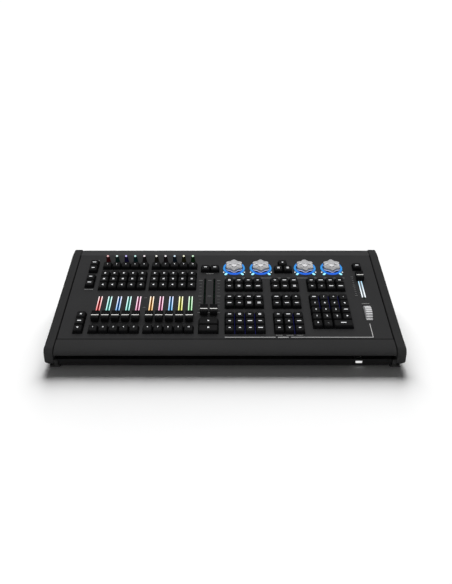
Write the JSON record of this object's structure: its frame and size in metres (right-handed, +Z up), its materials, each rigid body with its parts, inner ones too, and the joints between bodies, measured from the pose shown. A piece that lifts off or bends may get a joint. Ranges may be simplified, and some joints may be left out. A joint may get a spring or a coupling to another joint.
{
  "type": "lighting control desk",
  "caption": "Wedge-shaped stage lighting desk with playback and master faders, backlit key banks, small rotary knobs, lit encoder wheels and a thumb wheel between moulded side cheeks.",
  "frame": {"origin": "centre of the overall box at the table, under the feet", "axes": "+X across the desk to the operator's right, +Y from the palm rest to the rear panel, +Z up from the table"},
  "size_m": [0.652, 0.317, 0.1019],
  "materials": {
    "deck_paint": "fine-textured matte charcoal paint",
    "tray_paint": "matte black powder coat",
    "cheek_plastic": "coarse-textured dark grey moulding",
    "foot_rubber": "matt black rubber",
    "key_plastic": "satin black silicone keycap",
    "cap_plastic": "satin black fader cap",
    "knob_plastic": "satin black knob with a lit top",
    "wheel_silver": "satin silver",
    "board_green": "solder-mask green",
    "casing_steel": "zinc-plated sheet",
    "socket_plastic": "moulded black",
    "socket_metal": "nickel plate",
    "legend_white": "backlit translucent plastic",
    "print_grey": "printed ink",
    "light_red": "backlit translucent plastic",
    "light_cyan": "backlit translucent plastic",
    "light_blue": "backlit translucent plastic",
    "light_pink": "backlit translucent plastic",
    "light_orange": "backlit translucent plastic",
    "light_yellow": "backlit translucent plastic",
    "light_green": "backlit translucent plastic",
    "light_white": "backlit translucent plastic"
  },
  "bodies": {
    "root": {"base_tray": "tray_paint", "palm_rest": "deck_paint", "rear_panel": "tray_paint", "left_cheek": "cheek_plastic", "right_cheek": "cheek_plastic", "foot_front_left": "foot_rubber", "foot_front_right": "foot_rubber", "foot_rear_left": "foot_rubber", "foot_rear_right": "foot_rubber", "usb_port": "socket_metal", "power_inlet": "socket_plastic", "dmx_socket_1": "socket_metal", "dmx_socket_2": "socket_metal", "network_socket": "socket_plastic", "power_supply": "casing_steel", "processor_board": "board_green", "top_panel": "deck_paint", "playback_board": "board_green", "programmer_board": "board_green"},
    "power_switch": {"power_switch": "socket_plastic"},
    "playback_fader_1": {"playback_fader_1": "cap_plastic"},
    "playback_fader_2": {"playback_fader_2": "cap_plastic"},
    "playback_fader_3": {"playback_fader_3": "cap_plastic"},
    "playback_fader_4": {"playback_fader_4": "cap_plastic"},
    "playback_fader_5": {"playback_fader_5": "cap_plastic"},
    "playback_fader_6": {"playback_fader_6": "cap_plastic"},
    "playback_fader_7": {"playback_fader_7": "cap_plastic"},
    "playback_fader_8": {"playback_fader_8": "cap_plastic"},
    "playback_fader_9": {"playback_fader_9": "cap_plastic"},
    "playback_fader_10": {"playback_fader_10": "cap_plastic"},
    "master_fader_left": {"master_fader_left": "cap_plastic"},
    "master_fader_right": {"master_fader_right": "cap_plastic"},
    "crossfader": {"crossfader": "cap_plastic"},
    "encoder_wheel_1": {"encoder_wheel_1": "wheel_silver"},
    "encoder_wheel_2": {"encoder_wheel_2": "wheel_silver"},
    "encoder_wheel_3": {"encoder_wheel_3": "wheel_silver"},
    "encoder_wheel_4": {"encoder_wheel_4": "wheel_silver"},
    "rotary_knob_1": {"rotary_knob_1": "knob_plastic"},
    "rotary_knob_2": {"rotary_knob_2": "knob_plastic"},
    "rotary_knob_3": {"rotary_knob_3": "knob_plastic"},
    "rotary_knob_4": {"rotary_knob_4": "knob_plastic"},
    "rotary_knob_5": {"rotary_knob_5": "knob_plastic"},
    "rotary_knob_6": {"rotary_knob_6": "knob_plastic"},
    "rotary_knob_7": {"rotary_knob_7": "knob_plastic"},
    "rotary_knob_8": {"rotary_knob_8": "knob_plastic"},
    "rotary_knob_9": {"rotary_knob_9": "knob_plastic"},
    "rotary_knob_10": {"rotary_knob_10": "knob_plastic"},
    "thumb_wheel": {"thumb_wheel": "wheel_silver"},
    "page_keys": {"page_keys": "key_plastic"},
    "flash_keys_left": {"flash_keys_left": "key_plastic"},
    "flash_keys_right": {"flash_keys_right": "key_plastic"},
    "playback_keys_left": {"playback_keys_left": "key_plastic"},
    "playback_keys_right": {"playback_keys_right": "key_plastic"},
    "master_keys_top": {"master_keys_top": "key_plastic"},
    "master_keys_bottom": {"master_keys_bottom": "key_plastic"},
    "encoder_keys": {"encoder_keys": "key_plastic"},
    "programmer_keys_left": {"programmer_keys_left": "key_plastic"},
    "programmer_keys_middle": {"programmer_keys_middle": "key_plastic"},
    "programmer_keys_right": {"programmer_keys_right": "key_plastic"},
    "shift_key": {"shift_key": "key_plastic"}
  },
  "joints": [
    {"name": "power_switch_rock", "type": "hinge", "parent": "root", "child": "power_switch", "pos_m": [-0.258, 0.1535, 0.059], "axis": [1, 0, 0], "range_deg": [-16, 0]},
    {"name": "playback_fader_1_slide", "type": "slide", "parent": "root", "child": "playback_fader_1", "axis": [0, 0.9816, 0.1908], "range_m": [0, 0.06]},
    {"name": "playback_fader_2_slide", "type": "slide", "parent": "root", "child": "playback_fader_2", "axis": [0, 0.9816, 0.1908], "range_m": [0, 0.06]},
    {"name": "playback_fader_3_slide", "type": "slide", "parent": "root", "child": "playback_fader_3", "axis": [0, 0.9816, 0.1908], "range_m": [0, 0.06]},
    {"name": "playback_fader_4_slide", "type": "slide", "parent": "root", "child": "playback_fader_4", "axis": [0, 0.9816, 0.1908], "range_m": [0, 0.06]},
    {"name": "playback_fader_5_slide", "type": "slide", "parent": "root", "child": "playback_fader_5", "axis": [0, 0.9816, 0.1908], "range_m": [0, 0.06]},
    {"name": "playback_fader_6_slide", "type": "slide", "parent": "root", "child": "playback_fader_6", "axis": [0, 0.9816, 0.1908], "range_m": [0, 0.06]},
    {"name": "playback_fader_7_slide", "type": "slide", "parent": "root", "child": "playback_fader_7", "axis": [0, 0.9816, 0.1908], "range_m": [0, 0.06]},
    {"name": "playback_fader_8_slide", "type": "slide", "parent": "root", "child": "playback_fader_8", "axis": [0, 0.9816, 0.1908], "range_m": [0, 0.06]},
    {"name": "playback_fader_9_slide", "type": "slide", "parent": "root", "child": "playback_fader_9", "axis": [0, 0.9816, 0.1908], "range_m": [0, 0.06]},
    {"name": "playback_fader_10_slide", "type": "slide", "parent": "root", "child": "playback_fader_10", "axis": [0, 0.9816, 0.1908], "range_m": [0, 0.06]},
    {"name": "master_fader_left_slide", "type": "slide", "parent": "root", "child": "master_fader_left", "axis": [0, 0.9816, 0.1908], "range_m": [0, 0.1]},
    {"name": "master_fader_right_slide", "type": "slide", "parent": "root", "child": "master_fader_right", "axis": [0, 0.9816, 0.1908], "range_m": [0, 0.1]},
    {"name": "crossfader_slide", "type": "slide", "parent": "root", "child": "crossfader", "axis": [0, 0.9816, 0.1908], "range_m": [-0.06, 0]},
    {"name": "encoder_wheel_1_turn", "type": "hinge", "parent": "root", "child": "encoder_wheel_1", "pos_m": [0.01845, 0.08664, 0.07957], "axis": [0, -0.1908, 0.9816], "continuous": true},
    {"name": "encoder_wheel_2_turn", "type": "hinge", "parent": "root", "child": "encoder_wheel_2", "pos_m": [0.07385, 0.08664, 0.07957], "axis": [0, -0.1908, 0.9816], "continuous": true},
    {"name": "encoder_wheel_3_turn", "type": "hinge", "parent": "root", "child": "encoder_wheel_3", "pos_m": [0.16585, 0.08664, 0.07957], "axis": [0, -0.1908, 0.9816], "continuous": true},
    {"name": "encoder_wheel_4_turn", "type": "hinge", "parent": "root", "child": "encoder_wheel_4", "pos_m": [0.22125, 0.08664, 0.07957], "axis": [0, -0.1908, 0.9816], "continuous": true},
    {"name": "rotary_knob_1_turn", "type": "hinge", "parent": "root", "child": "rotary_knob_1", "pos_m": [-0.24545, 0.10578, 0.08329], "axis": [0, -0.1908, 0.9816], "continuous": true},
    {"name": "rotary_knob_2_turn", "type": "hinge", "parent": "root", "child": "rotary_knob_2", "pos_m": [-0.2264, 0.10578, 0.08329], "axis": [0, -0.1908, 0.9816], "continuous": true},
    {"name": "rotary_knob_3_turn", "type": "hinge", "parent": "root", "child": "rotary_knob_3", "pos_m": [-0.20735, 0.10578, 0.08329], "axis": [0, -0.1908, 0.9816], "continuous": true},
    {"name": "rotary_knob_4_turn", "type": "hinge", "parent": "root", "child": "rotary_knob_4", "pos_m": [-0.1883, 0.10578, 0.08329], "axis": [0, -0.1908, 0.9816], "continuous": true},
    {"name": "rotary_knob_5_turn", "type": "hinge", "parent": "root", "child": "rotary_knob_5", "pos_m": [-0.16925, 0.10578, 0.08329], "axis": [0, -0.1908, 0.9816], "continuous": true},
    {"name": "rotary_knob_6_turn", "type": "hinge", "parent": "root", "child": "rotary_knob_6", "pos_m": [-0.1439, 0.10578, 0.08329], "axis": [0, -0.1908, 0.9816], "continuous": true},
    {"name": "rotary_knob_7_turn", "type": "hinge", "parent": "root", "child": "rotary_knob_7", "pos_m": [-0.12485, 0.10578, 0.08329], "axis": [0, -0.1908, 0.9816], "continuous": true},
    {"name": "rotary_knob_8_turn", "type": "hinge", "parent": "root", "child": "rotary_knob_8", "pos_m": [-0.1058, 0.10578, 0.08329], "axis": [0, -0.1908, 0.9816], "continuous": true},
    {"name": "rotary_knob_9_turn", "type": "hinge", "parent": "root", "child": "rotary_knob_9", "pos_m": [-0.08675, 0.10578, 0.08329], "axis": [0, -0.1908, 0.9816], "continuous": true},
    {"name": "rotary_knob_10_turn", "type": "hinge", "parent": "root", "child": "rotary_knob_10", "pos_m": [-0.0677, 0.10578, 0.08329], "axis": [0, -0.1908, 0.9816], "continuous": true},
    {"name": "thumb_wheel_turn", "type": "hinge", "parent": "root", "child": "thumb_wheel", "pos_m": [0.2739, -0.04902, 0.03588], "axis": [1, 0, 0], "continuous": true},
    {"name": "page_keys_press", "type": "slide", "parent": "root", "child": "page_keys", "axis": [0, 0.1908, -0.9816], "range_m": [0, 0.003], "stiffness_N_per_m": 1750, "springref_m": -0.001},
    {"name": "flash_keys_left_press", "type": "slide", "parent": "root", "child": "flash_keys_left", "axis": [0, 0.1908, -0.9816], "range_m": [0, 0.003], "stiffness_N_per_m": 1250, "springref_m": -0.001},
    {"name": "flash_keys_right_press", "type": "slide", "parent": "root", "child": "flash_keys_right", "axis": [0, 0.1908, -0.9816], "range_m": [0, 0.003], "stiffness_N_per_m": 1250, "springref_m": -0.001},
    {"name": "playback_keys_left_press", "type": "slide", "parent": "root", "child": "playback_keys_left", "axis": [0, 0.1908, -0.9816], "range_m": [0, 0.003], "stiffness_N_per_m": 5000, "springref_m": -0.001},
    {"name": "playback_keys_right_press", "type": "slide", "parent": "root", "child": "playback_keys_right", "axis": [0, 0.1908, -0.9816], "range_m": [0, 0.003], "stiffness_N_per_m": 5000, "springref_m": -0.001},
    {"name": "master_keys_top_press", "type": "slide", "parent": "root", "child": "master_keys_top", "axis": [0, 0.1908, -0.9816], "range_m": [0, 0.003], "stiffness_N_per_m": 500, "springref_m": -0.001},
    {"name": "master_keys_bottom_press", "type": "slide", "parent": "root", "child": "master_keys_bottom", "axis": [0, 0.1908, -0.9816], "range_m": [0, 0.003], "stiffness_N_per_m": 500, "springref_m": -0.001},
    {"name": "encoder_keys_press", "type": "slide", "parent": "root", "child": "encoder_keys", "axis": [0, 0.1908, -0.9816], "range_m": [0, 0.003], "stiffness_N_per_m": 750, "springref_m": -0.001},
    {"name": "programmer_keys_left_press", "type": "slide", "parent": "root", "child": "programmer_keys_left", "axis": [0, 0.1908, -0.9816], "range_m": [0, 0.003], "stiffness_N_per_m": 7000, "springref_m": -0.001},
    {"name": "programmer_keys_middle_press", "type": "slide", "parent": "root", "child": "programmer_keys_middle", "axis": [0, 0.1908, -0.9816], "range_m": [0, 0.003], "stiffness_N_per_m": 5250, "springref_m": -0.001},
    {"name": "programmer_keys_right_press", "type": "slide", "parent": "root", "child": "programmer_keys_right", "axis": [0, 0.1908, -0.9816], "range_m": [0, 0.003], "stiffness_N_per_m": 6750, "springref_m": -0.001},
    {"name": "shift_key_press", "type": "slide", "parent": "root", "child": "shift_key", "axis": [0, 0.1908, -0.9816], "range_m": [0, 0.003], "stiffness_N_per_m": 250, "springref_m": -0.001}
  ]
}
